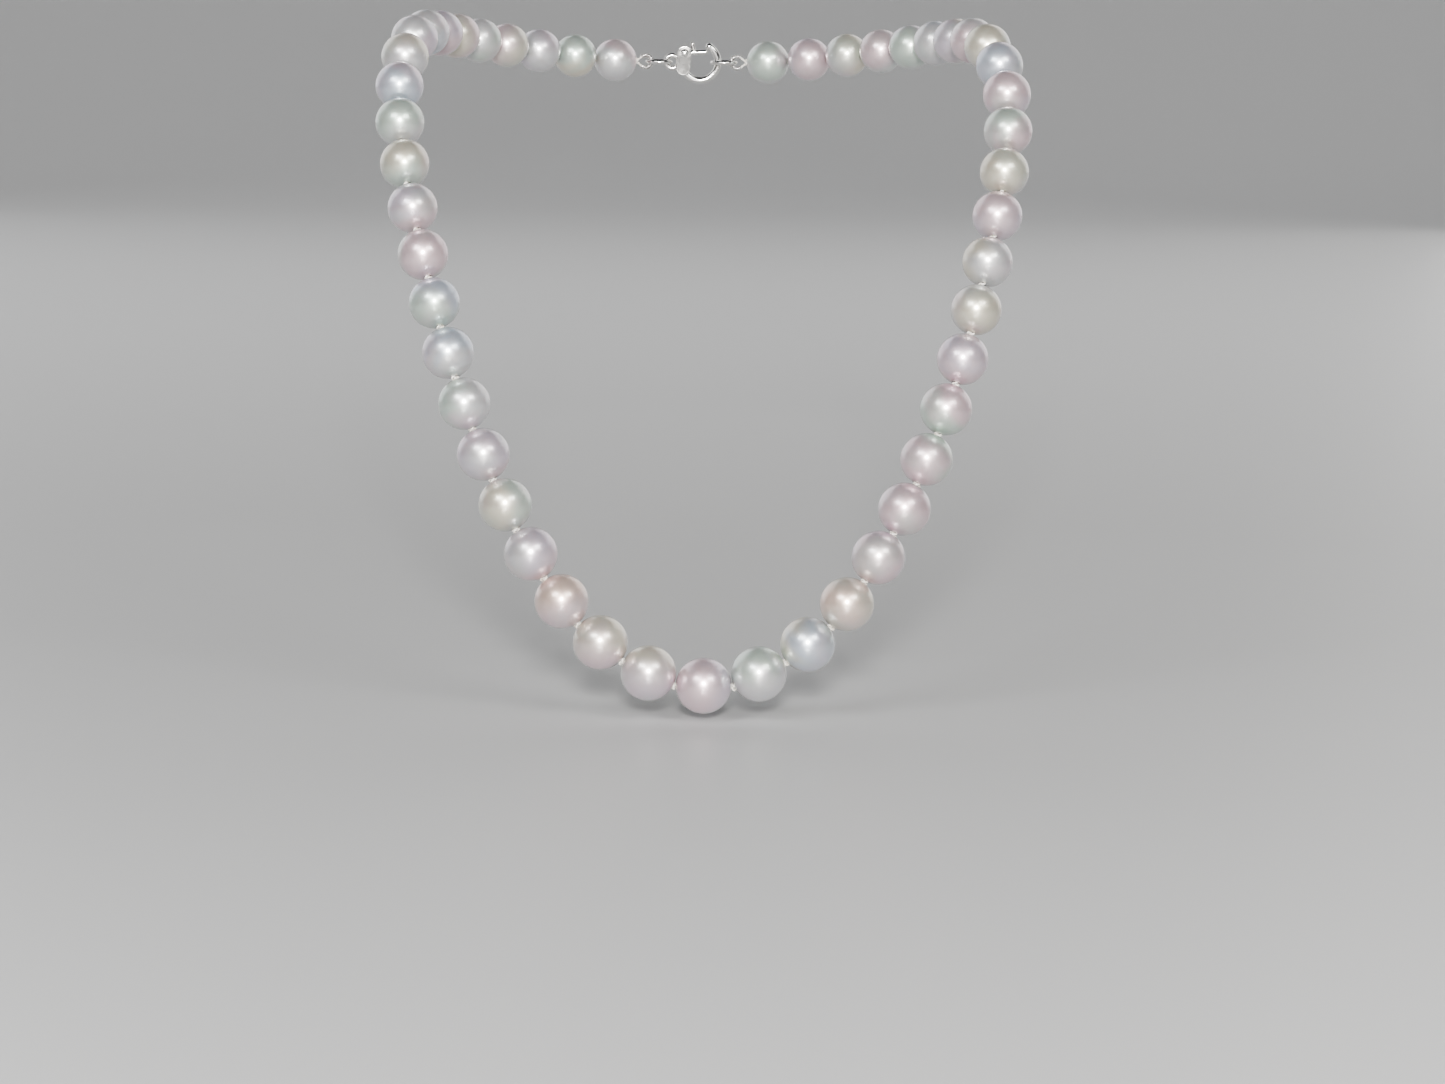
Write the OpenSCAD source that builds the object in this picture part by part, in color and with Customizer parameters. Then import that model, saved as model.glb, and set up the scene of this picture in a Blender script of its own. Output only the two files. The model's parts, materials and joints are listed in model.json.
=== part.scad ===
// A graduated pearl necklace, knotted on silk, with a lobster clasp.
// It is modelled as it is worn: round a neck and down over the chest.
// Origin: the axis of the neck at the height of the nape. +X is to the right
// as seen from the front, +Y points to the nape, +Z is up. Millimetres.

/* [Pearls] */
// Diameter of the centre pearl
centre_pearl_d = 9.4; // [7.8:0.1:12]
// Diameter of the last pearl, next to the clasp
end_pearl_d = 8.0; // [6.5:0.1:10]
// How quickly the pearls get smaller away from the centre, 1 is evenly
grading = 1.6; // [1:0.1:2.5]
// Room left along the thread between two pearls, over the knot
pearl_gap = 0.35; // [0.3:0.05:0.8]

/* [Silk] */
// Diameter of the doubled silk thread
thread_d = 0.7; // [0.4:0.05:0.9]
// Room all round the thread in a drill hole
drill_clear = 0.1; // [0.02:0.01:0.2]
// Diameter of a knot
knot_d = 1.3; // [1:0.05:1.7]
// Room between a knot and the drill mouth that it sits in
seat_clear = 0.03; // [0.02:0.01:0.1]

/* [Clasp] */
// Radius of the claw, to the middle of its wire
claw_r = 3.4; // [2.8:0.1:4.4]
// Diameter of the claw's wire
claw_wire_d = 1.3; // [1:0.05:1.6]
// Thickness of the claw's palm, which holds the rivet
palm_t = 2.5; // [2.1:0.1:3.2]
// Half width of the palm
palm_r = 1.3; // [1.25:0.05:1.6]
// Diameter of the rivet
rivet_d = 0.8; // [0.6:0.05:0.95]
// Thickness of the lever's eye
lever_t = 0.8; // [0.6:0.05:0.85]
// Diameter of the lever's bar
lever_bar_d = 0.8; // [0.6:0.05:1]
// Diameter of the spring's wire
spring_wire_d = 0.28; // [0.2:0.02:0.32]
// Room between the sliding parts of the lever, spring and palm
slot_clear = 0.07; // [0.03:0.01:0.1]
// Running clearance of the lever on its rivet, all round
pin_clear = 0.03; // [0.01:0.01:0.08]

/* [Rings] */
// Radius of a link ring, to the middle of its wire
ring_r = 2.2; // [1.9:0.1:3]
// Diameter of a link ring's wire
ring_wire_d = 0.8; // [0.5:0.05:1]
// Diameter of the wire of the clasp's tail eye
eye_wire_d = 0.9; // [0.7:0.05:1.1]
// Room left where one link bears on the next
bear_clear = 0.05; // [0.03:0.01:0.1]
// Room to move in the tail eye and in the thread loops, beside the ring's wire
link_play = 0.35; // [0.2:0.05:0.6]

/* [Thread loops] */
// Outside diameter of the coiled wire sleeve on a thread loop
gimp_d = 0.84; // [0.7:0.02:1]
// Thickness of the sleeve
gimp_wall = 0.14; // [0.08:0.01:0.16]
// Room between the single thread and its sleeve, all round
gimp_clear = 0.06; // [0.03:0.01:0.08]
// Angle left open on each side of the knot
gimp_open = 50; // [42:1:56]

/* [Hidden] */
$fn = 48;
pairs = 24; // pearls on each side of the centre one
steps = 26; // halvings in each search

// The middle line of the right half of the strand, from the centre pearl to
// the nape, as points chosen by hand. It is scaled until the strand fits it.
drape = [
    [0, -60, -100], [17.5, -59, -92.5], [29, -56.5, -78], [37, -52, -62],
    [43, -47.5, -46], [47.5, -40.5, -30], [51, -31.5, -15.5], [52.5, -20, -2.5],
    [50.5, -5.5, 5.5], [46.5, 11, 6], [40.5, 25.5, 4.5], [30.5, 38, 2.5],
    [16.5, 47, 0.5], [0, 50, 0]
];
last = len(drape) - 1;

// Radii that come from the sizes above
thread_r = thread_d / 2;
knot_r = knot_d / 2;
seat_r = knot_r + seat_clear;
drill_r = thread_r + drill_clear;
claw_wire_r = claw_wire_d / 2;
bar_r = lever_bar_d / 2;
rivet_r = rivet_d / 2;
rivet_head_r = rivet_r + 0.35;
rivet_head_h = 0.3;
ring_wire_r = ring_wire_d / 2;
eye_wire_r = eye_wire_d / 2;
eye_r = eye_wire_r + ring_wire_r + link_play;
gimp_outer_r = gimp_d / 2;
gimp_inner_r = gimp_outer_r - gimp_wall;
gimp_r = gimp_outer_r + ring_wire_r + link_play;
strand_r = gimp_inner_r - gimp_clear; // the single thread in a loop
gimp_knot = gimp_r / cos(gimp_open);  // the loop's centre to its knot
loop_steps = 18;                      // straight steps in an end loop's turn

// The clasp in its own plane, with the claw's centre at its origin
rivet_angle = 150;
palm_angle = 200;
tip_angle = 60;
rivet_at = claw_r * [cos(rivet_angle), sin(rivet_angle)];
palm_at = claw_r * [cos(palm_angle), sin(palm_angle)];
tip_at = claw_r * [cos(tip_angle), sin(tip_angle)];
tip_r = claw_wire_r * 1.08;           // a small bead on the claw's end
lever_tip_at = unit(tip_at) * (claw_r - tip_r - bar_r - slot_clear);
eye_x = palm_at.x - palm_r - eye_r + eye_wire_r;
boss_r = palm_r - 0.15;               // the lever's eye, inside the palm
slot_r = palm_r + 0.2;
spring_turns = 2;
spring_pitch = spring_wire_d * 0.75;
spring_h = spring_wire_d + (spring_turns - 1) * spring_pitch;
slot_w = lever_t + spring_h + 3 * slot_clear;
spring_r = rivet_r + pin_clear + slot_clear + spring_wire_d;
pocket_r = spring_r + spring_wire_d / 2 + slot_clear;
lever_z = -slot_w / 2 + slot_clear + lever_t / 2;
spring_z = slot_w / 2 - slot_clear - spring_h / 2;

// Places along the clasp, from the claw's centre out to the two end knots
right_ring_x = claw_r - claw_wire_r - bear_clear - ring_wire_r + ring_r;
left_ring_x = eye_x - eye_r + eye_wire_r + bear_clear + ring_wire_r - ring_r;
ring_to_gimp = ring_r + gimp_r - gimp_outer_r - ring_wire_r - bear_clear;
right_gimp_x = right_ring_x + ring_to_gimp;
left_gimp_x = left_ring_x - ring_to_gimp;
clasp_half = (right_gimp_x - left_gimp_x) / 2 + gimp_knot;
claw_x = -(right_gimp_x + left_gimp_x) / 2;

// Diameter of the pearls in a row, counted from the centre pearl
function pearl_d(row) =
    end_pearl_d + (centre_pearl_d - end_pearl_d) * pow(1 - row / pairs, grading);

function mirrored(p) = [-p.x, p.y, p.z];
function unit(v) = v / norm(v);

// A control point, going on past both ends as the other half of the strand
function control(i) =
    i < 0 ? mirrored(drape[-i]) : i > last ? mirrored(drape[2 * last - i]) : drape[i];

// A point of the smooth curve through the control points
function curve_at(u) =
    let (i = min(floor(u), last - 1), t = u - i,
         a = control(i - 1), b = control(i), c = control(i + 1), d = control(i + 2))
    0.5 * (2 * b + (c - a) * t + (2 * a - 5 * b + 4 * c - d) * t * t
           + (3 * b - a - 3 * c + d) * t * t * t);

// The place on the scaled curve that is a given distance from point p
function reach(p, distance, s, low, high, n = steps) =
    n == 0 ? low :
    let (m = (low + high) / 2)
    norm(s * curve_at(m) - p) < distance
        ? reach(p, distance, s, m, high, n - 1)
        : reach(p, distance, s, low, m, n - 1);

// The place where the scaled curve is a given distance from the middle plane
function reach_side(x, s, low, high, n = steps) =
    n == 0 ? low :
    let (m = (low + high) / 2)
    s * curve_at(m).x < x ? reach_side(x, s, m, high, n - 1) : reach_side(x, s, low, m, n - 1);

// The knots from the centre pearl to the clasp, each one pearl and one gap apart
function walk(s, row, u, found) =
    row > pairs ? found :
    let (next = reach(found[row - 1], pearl_d(row) + pearl_gap, s, u, u + 1.5))
    walk(s, row + 1, next, concat(found, [s * curve_at(min(next, last))]));

function strung(s) =
    let (u = reach_side((pearl_d(0) + pearl_gap) / 2, s, 0, 1))
    walk(s, 1, u, [s * curve_at(u)]);

// The scale at which the strand ends exactly where the clasp begins
function fitted(low, high, n = steps) =
    let (m = (low + high) / 2)
    n == 0 ? m :
    strung(m)[pairs].x > clasp_half ? fitted(low, m, n - 1) : fitted(m, high, n - 1);

knots = strung(fitted(0.7, 1.5));
nape = knots[pairs]; // the clasp lies level with the last knots

function two_digits(n) = str(n < 10 ? "0" : "", n);
function pearl_name(side, row) =
    row == 0 ? "pearl_centre" : str(side < 0 ? "pearl_left_" : "pearl_right_", two_digits(row));

// Puts its children half way from a to b, with their Z axis along that line
module between(a, b) {
    d = b - a;
    translate((a + b) / 2)
        rotate([0, acos(d.z / norm(d)), atan2(d.y, d.x)])
            children();
}

// Mirrors its children to the left side
module on_side(side) {
    if (side < 0) mirror([1, 0, 0]) children();
    else children();
}

// Stands the clasp's plane upright behind the neck, x along the strand
module at_nape(x) {
    translate([x, nape.y, nape.z]) rotate([90, 0, 0]) children();
}

module torus(r, wire_r) {
    rotate_extrude($fn = 96) translate([r, 0]) circle(wire_r);
}

// Part of a torus, from one angle to another
module torus_arc(r, wire_r, from, to) {
    rotate([0, 0, from]) rotate_extrude(angle = to - from, $fn = 96) translate([r, 0]) circle(wire_r);
}

// A round bar in the clasp's plane, with a round end at b
module bar(a, b, r) {
    length = norm(b - a);
    translate([a.x, a.y, 0]) rotate([0, 90, atan2(b.y - a.y, b.x - a.x)]) rotate_extrude()
        intersection() {
            union() {
                square([r, length]);
                translate([0, length]) circle(r);
            }
            square([r, length + r]);
        }
}

// One drilled pearl on the line between its two knots
module drilled_pearl(d) {
    difference() {
        sphere(d = d, $fn = 72);
        cylinder(r = drill_r, h = d + 1, center = true);
        for (end = [-1, 1]) translate([0, 0, end * (d + pearl_gap) / 2]) sphere(seat_r);
    }
}

module pearl(side, row) {
    tint = 0.5 + 0.5 * sin(row * 77 + side * 40);
    start = row == 0 ? mirrored(knots[0]) : knots[row - 1];
    color([0.88 + 0.06 * tint, 0.87, 0.9 - 0.04 * tint])
        on_side(side) between(start, knots[row]) drilled_pearl(pearl_d(row));
}

// A closed tube of eight sides through rings that are given as [centre, direction, radius]
module swept(rings) {
    ends = len(rings) - 1;
    polyhedron(
        points = [
            for (ring = rings)
                let (n = unit(cross([0, 0, 1], ring[1])), m = cross(ring[1], n))
                for (k = [0:7]) ring[0] + ring[2] * (cos(45 * k) * n + sin(45 * k) * m)
        ],
        faces = concat(
            [[for (k = [0:7]) k]],
            [[for (k = [7:-1:0]) 8 * ends + k]],
            [for (i = [0:ends - 1], k = [0:7])
                [8 * i + k, 8 * (i + 1) + k, 8 * (i + 1) + (k + 1) % 8, 8 * i + (k + 1) % 8]]
        )
    );
}

// The doubled thread through every pearl, swelling to a ball at each knot
module silk_thread() {
    route = concat([for (i = [pairs:-1:0]) mirrored(knots[i])], knots);
    ends = len(route) - 1;
    mouth = acos(thread_r / knot_r); // where the thread meets the ball of a knot
    color("ivory") swept([
        for (i = [0:ends])
            let (before = unit(route[max(i, 1)] - route[max(i, 1) - 1]),
                 after = unit(route[min(i, ends - 1) + 1] - route[min(i, ends - 1)]))
            for (share = [-1, -0.6, 0, 0.6, 1])
                let (d = share < 0 ? before : share > 0 ? after : unit(before + after))
                [route[i] + knot_r * sin(share * mouth) * d, d, knot_r * cos(share * mouth)]
    ]);
}

// Middle line of an end loop's single thread, from its knot, which lies along
// +x, round the ring's wire and back
function loop_line() =
    let (knot_at = [gimp_knot, 0, 0],
         ends = [for (side = [1, -1]) gimp_r * [cos(gimp_open), side * sin(gimp_open), 0]],
         feet = [for (e = ends) knot_at + (e - knot_at) * (knot_r + seat_clear) / norm(e - knot_at)],
         turn = (360 - 2 * gimp_open) / loop_steps)
    concat(
        [feet[0]],
        [for (i = [0:loop_steps]) gimp_r * [cos(gimp_open + i * turn), sin(gimp_open + i * turn), 0]],
        [feet[1]]
    );

module thread_loop() {
    line = loop_line();
    ends = len(line) - 1;
    swept([for (i = [0:ends]) [line[i], unit(line[min(i + 1, ends)] - line[max(i - 1, 0)]), strand_r]]);
}

module right_thread_loop() {
    color("ivory") at_nape(claw_x + right_gimp_x) thread_loop();
}

module left_thread_loop() {
    color("ivory") at_nape(claw_x + left_gimp_x) rotate([0, 0, 180]) thread_loop();
}

// The coiled wire sleeve of an end loop
module gimp_loop() {
    rotate([0, 0, gimp_open]) rotate_extrude(angle = 360 - 2 * gimp_open, $fn = 96)
        translate([gimp_r, 0]) difference() {
            circle(gimp_outer_r);
            circle(gimp_inner_r);
        }
}

module right_gimp() {
    color("silver") at_nape(claw_x + right_gimp_x) gimp_loop();
}

module left_gimp() {
    color("silver") at_nape(claw_x + left_gimp_x) rotate([0, 0, 180]) gimp_loop();
}

// The two closed rings lie flat, across the plane of the clasp
module link_ring(x) {
    color("silver") translate([claw_x + x, nape.y, nape.z]) torus(ring_r, ring_wire_r);
}

module right_link_ring() link_ring(right_ring_x);

module left_link_ring() link_ring(left_ring_x);

// The claw, its palm with a slot for the lever, and the tail eye
module clasp_body() {
    palm_line = palm_at - rivet_at;
    color("silver") at_nape(claw_x) difference() {
        union() {
            torus_arc(claw_r, claw_wire_r, rivet_angle, 360 + tip_angle);
            translate(tip_at) sphere(tip_r);
            linear_extrude(palm_t, center = true) {
                for (p = [rivet_at, palm_at]) translate(p) circle(palm_r);
                translate((rivet_at + palm_at) / 2) rotate(atan2(palm_line.y, palm_line.x))
                    square([norm(palm_line), 2 * palm_r], center = true);
            }
            translate([eye_x, 0, 0]) torus(eye_r, eye_wire_r);
        }
        translate(rivet_at) cylinder(r = slot_r, h = slot_w, center = true);
        translate(rivet_at) cylinder(r = rivet_r, h = palm_t + 1, center = true);
    }
}

// The lever: an eye on the rivet, a bar that closes the claw, and a thumb tab
module clasp_lever() {
    along = (lever_tip_at - rivet_at) / norm(lever_tip_at - rivet_at);
    tab_r = bar_r * 0.9;
    tab_foot = rivet_at + along * (slot_r + tab_r);
    tab_head = tab_foot + [-along.y, along.x] * 1.6 - along * 0.3;
    color("silver") at_nape(claw_x) difference() {
        union() {
            translate([rivet_at.x, rivet_at.y, lever_z]) cylinder(r = boss_r, h = lever_t, center = true);
            bar(rivet_at + along * rivet_head_r, lever_tip_at, bar_r);
            bar(tab_foot, tab_head, tab_r);
        }
        translate([rivet_at.x, rivet_at.y, lever_z + lever_t / 2])
            cylinder(r = pocket_r, h = slot_w);
        translate(rivet_at) cylinder(r = rivet_r + pin_clear, h = palm_t, center = true);
    }
}

module clasp_rivet() {
    color("gainsboro") at_nape(claw_x) translate(rivet_at) {
        cylinder(r = rivet_r, h = palm_t, center = true);
        for (end = [0, 180]) rotate([end, 0, 0]) translate([0, 0, palm_t / 2]) rivet_head();
    }
}

// A low dome, part of a ball that is cut level at the palm's face
module rivet_head() {
    ball_r = (rivet_head_r * rivet_head_r + rivet_head_h * rivet_head_h) / (2 * rivet_head_h);
    intersection() {
        translate([0, 0, rivet_head_h - ball_r]) sphere(ball_r);
        cylinder(r = rivet_head_r, h = rivet_head_h);
    }
}

// The torsion spring round the rivet, beside the lever's eye
module clasp_spring() {
    leg = slot_r - spring_r - spring_wire_d;
    color("gray") at_nape(claw_x) translate([rivet_at.x, rivet_at.y, spring_z]) union() {
        for (turn = [0:spring_turns - 1])
            translate([0, 0, (turn - (spring_turns - 1) / 2) * spring_pitch])
                torus(spring_r, spring_wire_d / 2);
        translate([0, -spring_r, -spring_pitch / 2]) rotate([90, 0, 0])
            cylinder(d = spring_wire_d, h = leg);
    }
}

pearl(1, 0);  // pearl_centre
for (side = [-1, 1], row = [1:pairs])
    pearl(side, row);
silk_thread();
clasp_body();
clasp_lever();
clasp_rivet();
clasp_spring();
left_link_ring();
right_link_ring();
left_gimp();
right_gimp();
left_thread_loop();
right_thread_loop();
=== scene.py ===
import bpy
import json
import math
import numpy as np
from mathutils import Matrix, Vector

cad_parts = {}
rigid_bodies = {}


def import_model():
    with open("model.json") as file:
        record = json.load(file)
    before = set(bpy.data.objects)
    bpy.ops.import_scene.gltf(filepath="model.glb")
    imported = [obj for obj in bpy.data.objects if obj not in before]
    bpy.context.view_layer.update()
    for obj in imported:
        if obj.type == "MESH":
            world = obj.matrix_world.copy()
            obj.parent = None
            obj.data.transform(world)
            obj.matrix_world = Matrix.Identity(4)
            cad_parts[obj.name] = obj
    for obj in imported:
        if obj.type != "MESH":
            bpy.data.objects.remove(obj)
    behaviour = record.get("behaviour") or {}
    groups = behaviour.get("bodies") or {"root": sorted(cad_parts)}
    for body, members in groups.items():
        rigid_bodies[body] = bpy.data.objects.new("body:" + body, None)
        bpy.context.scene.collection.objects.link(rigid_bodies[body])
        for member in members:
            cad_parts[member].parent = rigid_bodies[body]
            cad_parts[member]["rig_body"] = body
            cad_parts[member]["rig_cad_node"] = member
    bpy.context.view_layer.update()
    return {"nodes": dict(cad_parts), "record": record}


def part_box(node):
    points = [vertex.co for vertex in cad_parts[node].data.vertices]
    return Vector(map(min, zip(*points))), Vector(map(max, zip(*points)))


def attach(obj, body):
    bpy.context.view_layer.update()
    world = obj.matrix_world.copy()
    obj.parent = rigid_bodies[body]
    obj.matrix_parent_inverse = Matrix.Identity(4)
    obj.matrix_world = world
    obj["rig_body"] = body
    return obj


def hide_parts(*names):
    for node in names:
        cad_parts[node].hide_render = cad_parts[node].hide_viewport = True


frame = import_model()
mm = 0.001

bodyOf = {node: body for body, nodes in frame["record"]["behaviour"]["bodies"].items() for node in nodes}


# shader maths

class Wire:
    # one output of a shader node, so that a surface's formula can be written as a plain sum
    def __init__(self, surface, socket):
        self.surface, self.socket = surface, socket

    def __add__(self, other):
        return self.surface.math("ADD", self, other)

    def __radd__(self, other):
        return self.surface.math("ADD", other, self)

    def __sub__(self, other):
        return self.surface.math("SUBTRACT", self, other)

    def __rsub__(self, other):
        return self.surface.math("SUBTRACT", other, self)

    def __mul__(self, other):
        return self.surface.math("MULTIPLY", self, other)

    def __rmul__(self, other):
        return self.surface.math("MULTIPLY", other, self)

    def ramp(self, low, high):   # 0 below low, 1 above high, eased between
        return self.surface.node("ShaderNodeMapRange", {"interpolation_type": "SMOOTHSTEP", "clamp": True},
                                 {"Value": self, "From Min": low, "From Max": high})


class Surface:
    # a material with one Principled shader, and the nodes that feed it
    def __init__(self, name):
        self.material = bpy.data.materials.new(name)
        self.material.use_nodes = True
        self.tree = self.material.node_tree
        self.shader = self.tree.nodes["Principled BSDF"]
        self.place = self.node("ShaderNodeTexCoord", {}, {}, "Object")

    def plug(self, socket, value):
        if isinstance(value, Wire):
            self.tree.links.new(value.socket, socket)
        elif hasattr(socket.default_value, "__len__") and hasattr(value, "__len__"):
            size = len(socket.default_value)
            socket.default_value = (tuple(value) + (1.0,))[:size]
        elif value is not None:
            socket.default_value = value

    def node(self, kind, settings, inputs, output=0):
        made = self.tree.nodes.new(kind)
        for key, value in settings.items():
            setattr(made, key, value)
        for key, value in inputs.items():
            self.plug(made.inputs[key], value)
        return Wire(self, made.outputs[output])

    def math(self, operation, a, b):
        return self.node("ShaderNodeMath", {"operation": operation}, {0: a, 1: b})

    def mix(self, share, a, b):   # of two colours: a where share is 0, b where it is 1
        return self.node("ShaderNodeMix", {"data_type": "RGBA"}, {0: share, 6: a, 7: b}, 2)

    def noise(self, scale, detail=2.0, rough=0.5, at=None, stretch=0.0):
        inputs = {"Vector": at or self.place, "Scale": scale, "Detail": detail, "Roughness": rough}
        return self.node("ShaderNodeTexNoise", {}, {**inputs, "Distortion": stretch})

    def moved(self, offset):   # the object's own coordinates, moved, so that two noises don't match
        return self.node("ShaderNodeVectorMath", {"operation": "ADD"}, {0: self.place, 1: offset})

    def attribute(self, name):
        return self.node("ShaderNodeAttribute", {"attribute_name": name}, {}, "Color")

    def bump(self, height, depth):
        return self.node("ShaderNodeBump", {}, {"Height": height, "Distance": depth, "Strength": 1.0})

    def set(self, **values):
        for key, value in values.items():
            self.plug(self.shader.inputs[key.replace("_", " ")], value)
        return self.material


# meshes

def gridFaces(rows, columns, closed=True):
    # quads of a grid of points that goes round in columns, and in rows too if closed
    r = np.arange(rows if closed else rows - 1)[:, None]
    c = np.arange(columns)[None, :]
    a, b = r * columns + c, r * columns + (c + 1) % columns
    below = (r + 1) % rows
    quads = np.stack([a, b, below * columns + (c + 1) % columns, below * columns + c], axis=-1)
    return quads.reshape(-1, 4)


def tubeAlong(path, radius, sides=8, closed=False):
    # a round tube on a path of points, with its ends drawn in to close it
    path = np.asarray(path, float)
    radius = np.broadcast_to(np.asarray(radius, float), len(path)).copy()
    if closed:
        ahead, behind = np.roll(path, -1, 0), np.roll(path, 1, 0)
    else:
        path = np.concatenate([path[:1], path, path[-1:]])
        radius = np.concatenate([[radius[0] * 0.02], radius, [radius[-1] * 0.02]])
        ahead = np.concatenate([path[1:], path[-1:]])
        behind = np.concatenate([path[:1], path[:-1]])
    along = ahead - behind
    if not closed:
        along[0], along[-1] = along[1], along[-2]
    along /= np.linalg.norm(along, axis=1, keepdims=True)
    side = np.empty_like(path)
    side[0] = np.cross(along[0], [0.3, 0.2, 0.93])   # any direction that no path here runs in
    for i in range(1, len(path)):   # carries the cross direction along without twisting
        side[i] = side[i - 1] - along[i] * (side[i - 1] @ along[i])
        side[i] /= np.linalg.norm(side[i])
    side[0] = side[0] / np.linalg.norm(side[0])
    up = np.cross(along, side)
    turn = np.arange(sides) / sides * 2 * math.pi
    ring = side[:, None] * np.cos(turn)[None, :, None] + up[:, None] * np.sin(turn)[None, :, None]
    points = path[:, None] + ring * radius[:, None, None]
    return points.reshape(-1, 3), gridFaces(len(path), sides, closed)


def joined(parts):
    # several (points, quads) as one
    points, quads, start = [], [], 0
    for p, q in parts:
        points.append(p)
        quads.append(q + start)
        start += len(p)
    return np.concatenate(points), np.concatenate(quads)


def addPiece(name, points, quads, material, body=None, nodes=(), colour=None):
    mesh = bpy.data.meshes.new(name)
    mesh.vertices.add(len(points))
    mesh.vertices.foreach_set("co", np.asarray(points, np.float32).ravel())
    mesh.loops.add(quads.size)
    mesh.loops.foreach_set("vertex_index", quads.ravel().astype(np.int32))
    mesh.polygons.add(len(quads))
    mesh.polygons.foreach_set("loop_start", np.arange(0, quads.size, 4, dtype=np.int32))
    mesh.polygons.foreach_set("use_smooth", np.ones(len(quads), bool))
    mesh.update(calc_edges=True)
    if colour is not None:
        layer = mesh.attributes.new("overtone", "FLOAT_COLOR", "POINT")
        layer.data.foreach_set("color", np.asarray(colour, np.float32).ravel())
    mesh.validate()
    mesh.materials.append(material)
    piece = bpy.data.objects.new(name, mesh)
    bpy.context.scene.collection.objects.link(piece)
    if body:
        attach(piece, body)
        if nodes:
            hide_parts(*nodes)
    return piece


# where the pearls and knots are

def centreOf(node):
    low, high = (np.array(corner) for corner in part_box(node))
    return (low + high) / 2, (high - low).max()

rows = max(int(node[-2:]) for node in frame["nodes"] if node.startswith("pearl_left"))
pearls = {node: centreOf(node) for node in frame["nodes"] if node.startswith("pearl_")}
middle, middleSize = pearls["pearl_centre"]
# the first knot is on the line of the centre pearl's bore, half a gap out from the pearl,
# and each pearl's centre is halfway between its two knots
gap = 0.35 * mm
knots = {}
for side, sign in (("left", -1), ("right", 1)):
    knots[side, 0] = middle + np.array([sign * (middleSize + gap) / 2, 0, 0])
    for row in range(1, rows + 1):
        knots[side, row] = 2 * pearls[f"pearl_{side}_{row:02d}"][0] - knots[side, row - 1]
print("knots found, the last at", np.round(knots["right", rows] / mm, 2), "mm")


# nacre

nacreLook = {
    "rough": 0.35, "metal": 0.62, "coatRough": 0.16, "film": 380.0,
    "pale": (0.77, 0.76, 0.75), "rose": (0.75, 0.62, 0.66), "green": (0.59, 0.68, 0.62),
    "pit": (0.55, 0.50, 0.47),
    "roseClouds": 120, "roseShare": 0.42, "greenClouds": 105, "greenShare": 0.40,
    "mottle": 900, "mottleShare": 0.10, "pitCells": 300.0, "pitShare": 0.35,
    "dimples": 260, "peel": 1300, "peelShare": 0.22, "pitDepth": 1.6, "skinDepth": 0.010 * mm,
}

def makeNacre():
    s = Surface("nacre")
    look = nacreLook
    # colour = the pearl's own tint, clouded by a wide rose and a wide green noise, with faint mottling
    rose = s.noise(look["roseClouds"], 1.5).ramp(0.50, 0.68) * look["roseShare"]
    apart = s.moved((0.31, 0.17, 0.53))
    green = s.noise(look["greenClouds"], 1.5, at=apart).ramp(0.50, 0.70) * look["greenShare"]
    colour = s.mix(rose, s.attribute("overtone"), look["rose"])
    colour = s.mix(green, colour, look["green"])
    mottle = s.noise(look["mottle"], 4, 0.6).ramp(0.35, 0.75) * look["mottleShare"]
    colour = s.mix(mottle, colour, look["pale"])
    # a few pits: small dots, only in the cells whose own number is high
    cell = {"Vector": s.place, "Scale": look["pitCells"], "Randomness": 1.0}
    near = s.node("ShaderNodeTexVoronoi", {}, cell, "Distance")
    lot = s.node("ShaderNodeSeparateColor", {}, {0: s.node("ShaderNodeTexVoronoi", {}, cell, "Color")}, 0)
    pit = (1.0 - near.ramp(0.03, 0.09)) * lot.ramp(0.93, 0.95)
    colour = s.mix(pit * look["pitShare"], colour, look["pit"])
    # skin = long soft dimples, fine orange peel, less the pits
    peel = s.noise(look["peel"], 3, 0.6) * look["peelShare"]
    skin = s.noise(look["dimples"], 2) + peel - pit * look["pitDepth"]
    rough = look["rough"] + s.noise(500, 3).ramp(0.3, 0.8) * 0.08
    return s.set(Base_Color=colour, Roughness=rough, Metallic=look["metal"], IOR=1.56,
                 Subsurface_Weight=0.18, Subsurface_Radius=(1.0, 0.72, 0.6), Subsurface_Scale=1.2 * mm,
                 Coat_Weight=1.0, Coat_Roughness=look["coatRough"], Coat_IOR=1.7,
                 Sheen_Weight=0.08, Sheen_Roughness=0.4,
                 Thin_Film_Thickness=look["film"], Thin_Film_IOR=1.42,
                 Normal=s.bump(skin, look["skinDepth"]))

nacre = makeNacre()

tints = {
    "silver": (0.69, 0.68, 0.69),
    "lilac": (0.69, 0.62, 0.69),
    "rose": (0.75, 0.61, 0.64),
    "peach": (0.77, 0.62, 0.55),
    "cream": (0.72, 0.68, 0.58),
    "green": (0.61, 0.68, 0.62),
    "blue": (0.60, 0.64, 0.71),
}
# body tint and overtone of each pearl, from the centre out to the clasp
overtones = {
    "centre": ["lilac rose"],
    "left": ["lilac cream", "cream rose", "peach rose", "rose lilac", "green cream", "lilac rose",
             "green silver", "blue silver", "blue green", "rose green", "rose lilac", "cream green",
             "green silver", "lilac blue", "cream silver", "silver lilac", "blue silver", "lilac rose",
             "rose cream", "silver green", "cream rose", "lilac silver", "green cream", "silver rose"],
    "right": ["silver green", "cream blue", "cream peach", "lilac rose", "silver rose", "green rose",
              "green rose", "rose lilac", "silver cream", "cream silver", "lilac rose", "cream green",
              "green rose", "rose lilac", "lilac blue", "silver cream", "rose silver", "cream lilac",
              "silver blue", "lilac green", "silver rose", "cream silver", "lilac rose", "silver green"],
}
pearlShape = {"rings": 60, "sides": 88, "bore": 0.45 * mm, "seat": 0.68 * mm, "offRound": 0.0035}

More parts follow.
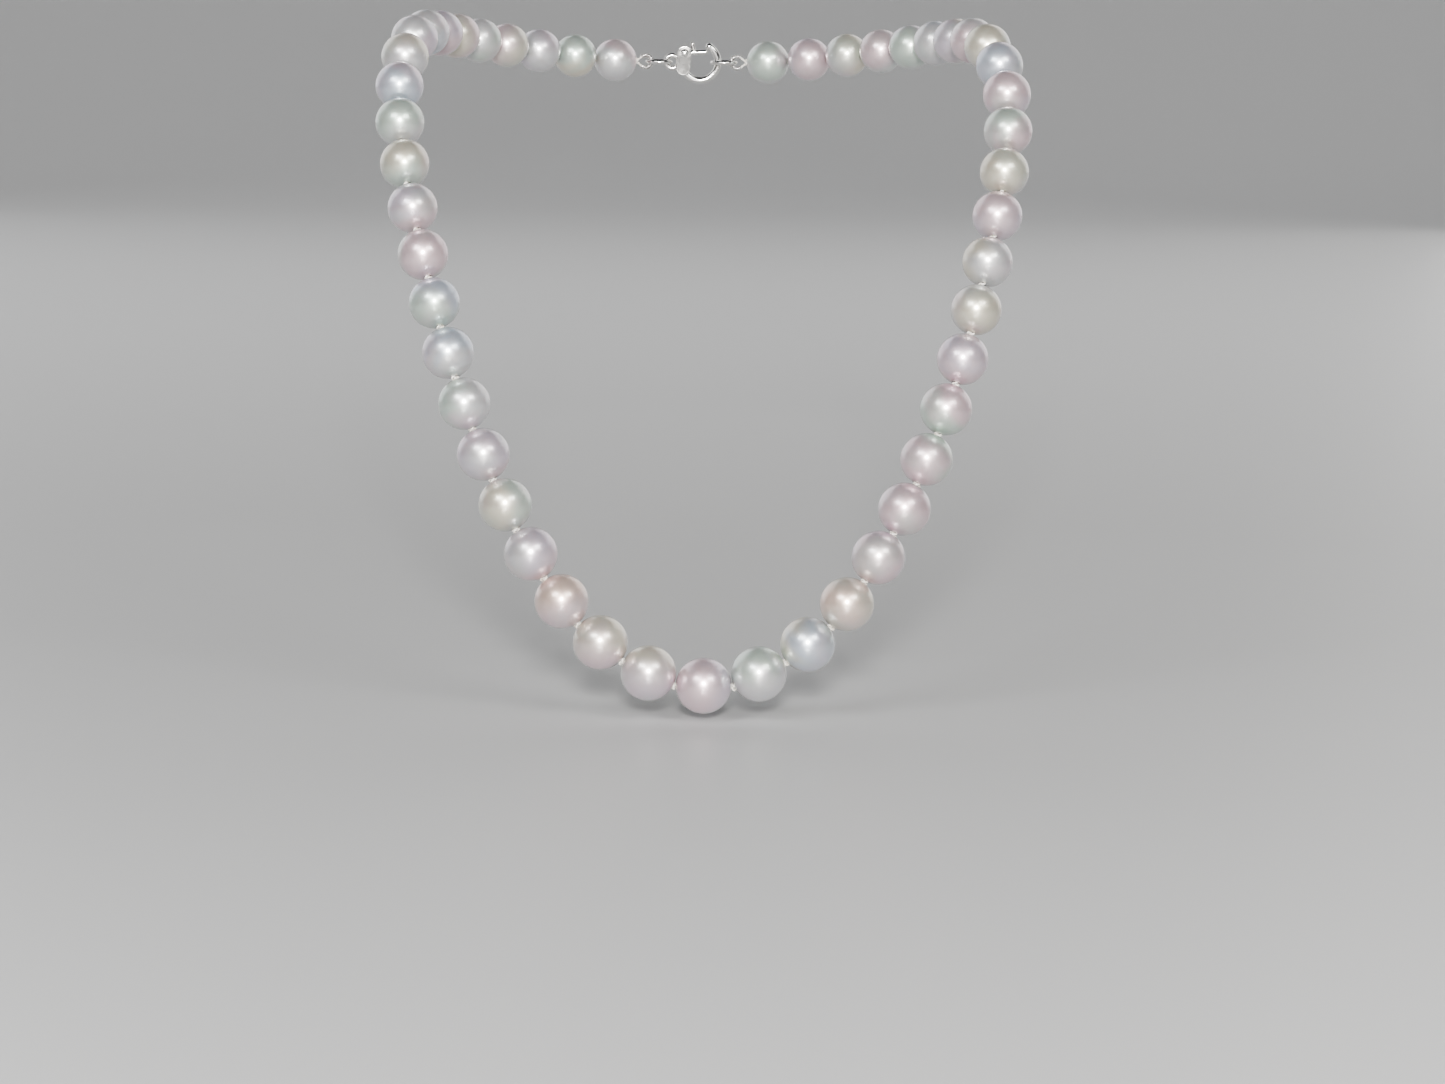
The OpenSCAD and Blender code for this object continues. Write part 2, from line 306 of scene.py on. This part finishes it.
def eased(x):   # 3x^2 - 2x^3, so 0 to 1 and level at both ends
    x = np.clip(x, 0, 1)
    return x * x * (3 - 2 * x)

def makePearl(name, a, b, words, seed):
    # a ball on the line from knot a to knot b, with a bore and a round seat for the knot at each mouth
    rng = np.random.default_rng(seed)
    centre, size = pearls[name]
    axis = (b - a) / np.linalg.norm(b - a)
    side = np.cross(axis, [0.1, 0.2, 0.97])
    side /= np.linalg.norm(side)
    up = np.cross(axis, side)
    r, seat, bore = size / 2, pearlShape["seat"], pearlShape["bore"]
    knotOff = r + gap / 2
    rimAt = (r * r - seat * seat + knotOff * knotOff) / (2 * knotOff)
    rim = math.sqrt(r * r - rimAt * rimAt)
    polar = np.linspace(math.asin(rim / r), math.pi - math.asin(rim / r), pearlShape["rings"])
    ball = np.stack([np.cos(polar) * r, np.sin(polar) * r], 1)
    seatFloor = knotOff - math.sqrt(seat * seat - bore * bore)
    dip = np.linspace(0.12, 1, 4)
    cup = np.stack([rimAt + (seatFloor - rimAt) * dip, rim + (bore - rim) * dip ** 1.6], 1)
    inside = np.stack([np.linspace(-0.9, 0.9, 5) * seatFloor, np.full(5, bore)], 1)
    profile = np.concatenate([ball, cup * [-1, 1], inside, cup[::-1]])
    turn = np.arange(pearlShape["sides"]) / pearlShape["sides"] * 2 * math.pi
    spoke = side[None] * np.cos(turn)[:, None] + up[None] * np.sin(turn)[:, None]
    offset = profile[:, None, :1] * axis + profile[:, None, 1:] * spoke[None]
    way = offset / np.linalg.norm(offset, axis=2, keepdims=True)
    # not quite round: a few slow swells, none at the mouths
    swell = sum(rng.normal() * np.prod([way @ v for v in pick], axis=0)
                for pick in (rng.normal(size=(n, 3)) / 1.2 for n in (2, 2, 3)))
    outer = (np.arange(len(profile)) < len(ball))[:, None]
    free = eased(profile[:, 1:] / r * 2.2) * outer
    offset = offset * (1 + pearlShape["offRound"] * np.clip(swell, -1.8, 1.8) * free)[:, :, None]
    # the overtone lies on one side, with a soft and wavy edge
    main, other = (np.array(tints[w]) for w in words.split())
    toward = rng.normal(size=3) + [0, -0.5, 0]
    ripple = np.sin(way @ rng.normal(size=3) * 3 + rng.uniform(0, 6))
    wave = way @ (toward / np.linalg.norm(toward)) + 0.25 * ripple
    share = eased(wave * 0.9 + 0.35)[:, :, None]
    colour = main * (1 - share) + other * share
    colour = np.concatenate([colour, np.ones_like(share)], 2)
    return addPiece(name.replace("pearl", "nacre"), (centre + offset).reshape(-1, 3),
                    gridFaces(len(profile), len(turn))[:, ::-1], nacre, bodyOf[name], [name],
                    colour.reshape(-1, 4))

makePearl("pearl_centre", knots["left", 0], knots["right", 0], overtones["centre"][0], 1)
for side in ("left", "right"):
    for row in range(1, rows + 1):
        makePearl(f"pearl_{side}_{row:02d}", knots[side, row - 1], knots[side, row],
                  overtones[side][row - 1], row * 2 + (side == "left"))
print("pearls made")


# silk

silkLook = {"colour": (0.86, 0.83, 0.77), "shade": (0.66, 0.61, 0.53)}

def makeSilk():
    s = Surface("silk")
    # colour = clean silk, dulled by handling in slow patches and by fine fibres
    fibre = s.noise(9000, 2, 0.7)
    dull = s.noise(500, 2).ramp(0.45, 0.75) * 0.45
    colour = s.mix(dull, silkLook["colour"], silkLook["shade"])
    colour = s.mix(fibre.ramp(0.3, 0.7) * 0.35, colour, (0.94, 0.92, 0.88))
    return s.set(Base_Color=colour, Roughness=0.55 + fibre * 0.2, IOR=1.5,
                 Sheen_Weight=0.5, Sheen_Roughness=0.35,
                 Subsurface_Weight=0.2, Subsurface_Radius=(1.0, 0.9, 0.8), Subsurface_Scale=0.3 * mm,
                 Normal=s.bump(fibre, 0.02 * mm))

silk = makeSilk()
silkShape = {"strand": 0.17 * mm, "lay": 1.3 * mm, "knotRound": 0.27 * mm, "knotThick": 0.21 * mm,
             "knotStrand": 0.17 * mm, "bulge": 1.75}

def twoStrands(path, phase=0.0, strand=None, steps=44):
    # two strands laid round each other along a path
    path = np.asarray(path, float)
    length = np.concatenate([[0], np.cumsum(np.linalg.norm(np.diff(path, axis=0), axis=1))])
    t = np.linspace(0, length[-1], steps)
    line = np.stack([np.interp(t, length, path[:, i]) for i in range(3)], 1)
    along = np.gradient(line, axis=0)
    along /= np.linalg.norm(along, axis=1, keepdims=True)
    side = np.cross(along, [0.11, 0.23, 0.97])
    side /= np.linalg.norm(side, axis=1, keepdims=True)
    up = np.cross(along, side)
    r = strand or silkShape["strand"]
    parts = []
    for half in (0, math.pi):
        turn = t / silkShape["lay"] * 2 * math.pi + half + phase
        parts.append(tubeAlong(line + r * (side * np.cos(turn)[:, None] + up * np.sin(turn)[:, None]), r, 8))
    return joined(parts)

def knotAt(point, axis, outward, seed):
    # an overhand knot drawn tight: one strand twice round the line and three times through itself,
    # squeezed by its pearls towards the outside of the strand's bend
    rng = np.random.default_rng(seed)
    axis = axis / np.linalg.norm(axis)
    outward = outward - axis * (outward @ axis)
    up = outward / np.linalg.norm(outward)
    side = np.cross(up, axis)
    t = np.arange(110) / 110 * 2 * math.pi + rng.uniform(0, 6)
    out = silkShape["knotRound"] + silkShape["knotThick"] * np.cos(3 * t)
    rise = silkShape["knotThick"] * 1.15 * np.sin(3 * t) + 0.05 * mm * rng.normal() * np.cos(t)
    spin = 2 * t + rng.uniform(0, 6)
    high = out * np.sin(spin)
    high = high * np.where(high > 0, silkShape["bulge"], 0.85)
    line = point + side * (1.1 * out * np.cos(spin))[:, None] + up * high[:, None] + axis * rise[:, None]
    reach = silkShape["knotRound"] * np.linspace(-0.7, silkShape["bulge"], 7)[:, None]
    heart = silkShape["knotRound"] * np.array([0.5, 0.9, 1.1, 1.15, 1.1, 0.9, 0.5])
    return joined([tubeAlong(line, silkShape["knotStrand"], 9, closed=True),
                   tubeAlong(point + up * reach, heart, 12)])

def bendOut(side, row):   # from the line between two pearls' centres towards the knot between them
    before = middle if row == 0 else pearls[f"pearl_{side}_{row:02d}"][0]
    after = pearls[f"pearl_{side}_{min(row + 1, rows):02d}"][0]
    return knots[side, row] - (before + after) / 2

def threadInPearl(a, b, seed):   # straight from knot to knot, its lay turned by the seed
    return twoStrands([a, b], phase=seed * 1.7)

silkParts = {"centre": [threadInPearl(knots["left", 0], knots["right", 0], 0)]}
for side in ("left", "right"):
    for row in range(rows + 1):
        node = f"pearl_{side}_{row:02d}" if row else "pearl_centre"
        along = knots[side, max(row, 1)] - knots[side, max(row, 1) - 1]
        if row:
            ahead = knots[side, min(row + 1, rows)] - knots[side, min(row + 1, rows) - 1]
            along = along / np.linalg.norm(along) + ahead / np.linalg.norm(ahead)
            silkParts.setdefault(bodyOf[node], []).append(
                threadInPearl(knots[side, row - 1], knots[side, row], row + (side == "left") * 31))
        if row < rows:
            silkParts.setdefault(bodyOf[node], []).append(
                knotAt(knots[side, row], along, bendOut(side, row), 100 + row * 2 + (side == "left")))

for body, parts in silkParts.items():
    points, quads = joined(parts)
    addPiece("silk_" + body, points, quads, silk, body, ["silk_thread"])

# the end loops: one strand out of the last knot, round the ring and back
def endLoop(side, sign):
    low, high = (np.array(corner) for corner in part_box(f"{side}_gimp"))
    sleeve = (high[1] - low[1]) / 2
    outer = (high[2] - low[2]) / 2
    turnRadius = outer - sleeve
    centre = (low + high) / 2
    centre[0] = low[0] + outer if sign > 0 else high[0] - outer
    return centre, turnRadius, sleeve

loopShape = {"open": 50.0, "wire": 0.065 * mm, "pitch": 0.136 * mm, "thread": 0.21 * mm}

def loopPath(side, sign):
    # from the last knot straight to the arc's start, round the arc, and straight back
    centre, turnRadius, sleeve = endLoop(side, sign)
    turn = np.radians(np.linspace(loopShape["open"], 360 - loopShape["open"], 90))
    bend = centre + turnRadius * np.stack([sign * np.cos(turn), 0 * turn, np.sin(turn)], 1)
    last = knots[side, rows]
    share = np.linspace(0.1, 1, 8, endpoint=False)[:, None]
    return np.concatenate([last + (bend[0] - last) * share, bend, (last + (bend[-1] - last) * share)[::-1]])

for side, sign in (("left", -1), ("right", 1)):
    path = loopPath(side, sign)
    points, quads = joined([
        twoStrands(path, strand=loopShape["thread"] / 2, steps=160),
        knotAt(knots[side, rows], np.array([1.0, 0, 0]), np.array([0, 1.0, 0.3]), 200 + sign),
    ])
    addPiece(f"silk_end_loop_{side}", points, quads, silk, "clasp",
             [f"{side}_thread_loop", "silk_thread"])
print("silk made")


# metals

silverLook = {"colour": (0.90, 0.89, 0.87), "tarnish": (0.62, 0.58, 0.52)}

def makeSilver(name, colour, rough, dullness):
    s = Surface(name)
    # colour = clean metal, greyed in slow patches; roughness = polish, broken by fine hairlines and smears
    patch = s.noise(400, 3).ramp(0.45, 0.75)
    hair = s.noise(3500, 3, 0.7, stretch=2.5)
    colour = s.mix(patch * dullness, colour, silverLook["tarnish"])
    return s.set(Base_Color=colour, Metallic=1.0,
                 Roughness=rough + patch * 0.10 + hair.ramp(0.45, 0.8) * 0.12,
                 Normal=s.bump(hair, 0.006 * mm))

silver = makeSilver("silver", silverLook["colour"], 0.10, 0.25)
gimpWire = makeSilver("gimp_wire", (0.88, 0.87, 0.86), 0.2, 0.35)
springSteel = makeSilver("spring_steel", (0.55, 0.55, 0.57), 0.26, 0.3)

# the coiled sleeve on each end loop
for side, sign in (("left", -1), ("right", 1)):
    centre, turnRadius, sleeve = endLoop(side, sign)
    sweep = math.radians(360 - 2 * loopShape["open"])
    turns = turnRadius * sweep / loopShape["pitch"]
    t = np.linspace(0, 1, int(turns * 13))
    around = math.radians(loopShape["open"]) + sweep * t
    wind = t * turns * 2 * math.pi
    coil = sleeve - loopShape["wire"]
    out = turnRadius + coil * np.cos(wind)
    line = centre + np.stack([sign * out * np.cos(around), coil * np.sin(wind), out * np.sin(around)], 1)
    points, quads = tubeAlong(line, loopShape["wire"], 7)
    addPiece(f"gimp_coil_{side}", points, quads, gimpWire, "clasp", [f"{side}_gimp"])

# cast parts: the CAD shape with its edges rounded over, as tumbling leaves them
def rounded(node, voxel, passes, body):
    made = frame["nodes"][node].copy()
    made.data = made.data.copy()
    made.parent = None
    made.name = made.data.name = node.replace("clasp_", "cast_")
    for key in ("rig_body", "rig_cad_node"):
        del made[key]
    bpy.context.scene.collection.objects.link(made)
    remesh = made.modifiers.new("skin", "REMESH")
    remesh.mode, remesh.voxel_size = "VOXEL", voxel
    soften = made.modifiers.new("tumbled", "SMOOTH")
    soften.factor, soften.iterations = 0.5, passes
    graph = bpy.context.evaluated_depsgraph_get()
    mesh = bpy.data.meshes.new_from_object(made.evaluated_get(graph))
    made.modifiers.clear()
    made.data = mesh
    mesh.materials.clear()
    mesh.materials.append(silver)
    mesh.polygons.foreach_set("use_smooth", np.ones(len(mesh.polygons), bool))
    mesh.update()
    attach(made, body)
    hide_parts(node)
    return made

rounded("clasp_body", 0.075 * mm, 5, "clasp")
rounded("clasp_lever", 0.055 * mm, 4, "lever")
for node, material in (("clasp_rivet", silver), ("left_link_ring", silver), ("right_link_ring", silver),
                       ("clasp_spring", springSteel)):
    mesh = frame["nodes"][node].data
    mesh.materials.clear()
    mesh.materials.append(material)
print("clasp finished")


# floor, lights and camera

studio = {
    "floorDrop": 6.1 * mm, "flat": 1.2, "sweep": 1.1, "wall": 2.0, "sides": 96,
    "tone": (0.60, 0.60, 0.60), "shade": (0.56, 0.564, 0.572), "gloss": 0.42,
    "sky": (0.80, 0.83, 0.88), "skyStrength": 0.08, "look": "AgX - High Contrast",
}

def makeFloor():
    # a round floor that sweeps up into a wall all round, so every side has the same plain background
    s = Surface("floor")
    tone = s.noise(1.3, 2).ramp(0.3, 0.7)
    # colour = one pale grey, a little darker in wide slow patches
    s.set(Base_Color=s.mix(tone * 0.25, studio["tone"], studio["shade"]), Roughness=studio["gloss"], IOR=1.4)
    bend = np.linspace(0, math.pi / 2, 20)
    radius = np.concatenate([[0.0001, 0.5, 1.0], studio["flat"] + studio["sweep"] * np.sin(bend),
                             [studio["flat"] + studio["sweep"]]])
    height = np.concatenate([[0, 0, 0], studio["sweep"] * (1 - np.cos(bend)), [studio["wall"]]])
    turn = np.arange(studio["sides"]) / studio["sides"] * 2 * math.pi
    points = np.stack([radius[:, None] * np.cos(turn), radius[:, None] * np.sin(turn),
                       height[:, None] + 0 * turn + middle[2] - studio["floorDrop"]], 2)
    quads = gridFaces(len(radius), len(turn), False)[:, ::-1]
    addPiece("floor", points.reshape(-1, 3), quads, s.material)

makeFloor()

cool, warm = (0.98, 0.99, 1.0), (1.0, 0.99, 0.97)
necklace = (0, -0.045, -0.05)
# where each lamp stands, what it points at, its width and height, its watts and its colour
lamps = {
    "front": ((-0.04, -1.25, 0.30), necklace, (0.17, 0.17), 14.0, (1.0, 0.985, 0.96)),
    "upper_left": ((-0.44, -0.74, 0.50), necklace, (0.46, 0.26), 2.4, cool),
    "upper_right": ((0.42, -0.76, 0.50), necklace, (0.46, 0.26), 2.2, warm),
    "backdrop": ((0, 0.35, 1.0), (0, 2.0, 0.5), (1.8, 0.5), 10.0, (1.0, 1.0, 1.0)),
    "behind_left": ((-0.62, 0.70, 0.36), necklace, (0.95, 0.95), 2.0, cool),
    "behind_right": ((0.62, 0.70, 0.36), necklace, (0.95, 0.95), 2.0, warm),
}
for name, (place, aim, size, watts, colour) in lamps.items():
    light = bpy.data.lights.new(name, "AREA")
    light.shape, light.size, light.size_y = "RECTANGLE", size[0], size[1]
    light.energy, light.color = watts, colour
    lamp = bpy.data.objects.new(name, light)
    lamp.location = place
    lamp.rotation_euler = (Vector(aim) - Vector(place)).to_track_quat("-Z", "Y").to_euler()
    bpy.context.scene.collection.objects.link(lamp)

world = bpy.data.worlds.new("studio")
world.use_nodes = True
sky = world.node_tree.nodes["Background"]
sky.inputs["Color"].default_value = studio["sky"] + (1,)
sky.inputs["Strength"].default_value = studio["skyStrength"]
bpy.context.scene.world = world
bpy.context.scene.view_settings.look = studio["look"]

# the camera: its place, how far it turns right and looks down, its lean to one side, and its lens in mm
view = {"place": (-0.0276, -0.7819, 0.0285), "right": 2.41, "down": 8.20, "lean": 0.95, "lens": 109.1}
lens = bpy.data.cameras.new("camera")
lens.lens, lens.sensor_width = view["lens"], 36.0
lens.clip_start, lens.clip_end = 0.01, 20.0
camera = bpy.data.objects.new("camera", lens)
camera.matrix_world = (Matrix.Translation(view["place"])
                       @ Matrix.Rotation(math.radians(-view["right"]), 4, "Z")
                       @ Matrix.Rotation(math.radians(90 - view["down"]), 4, "X")
                       @ Matrix.Rotation(math.radians(view["lean"]), 4, "Z"))
bpy.context.scene.collection.objects.link(camera)
bpy.context.scene.camera = camera

print("floor, lamps and camera placed")
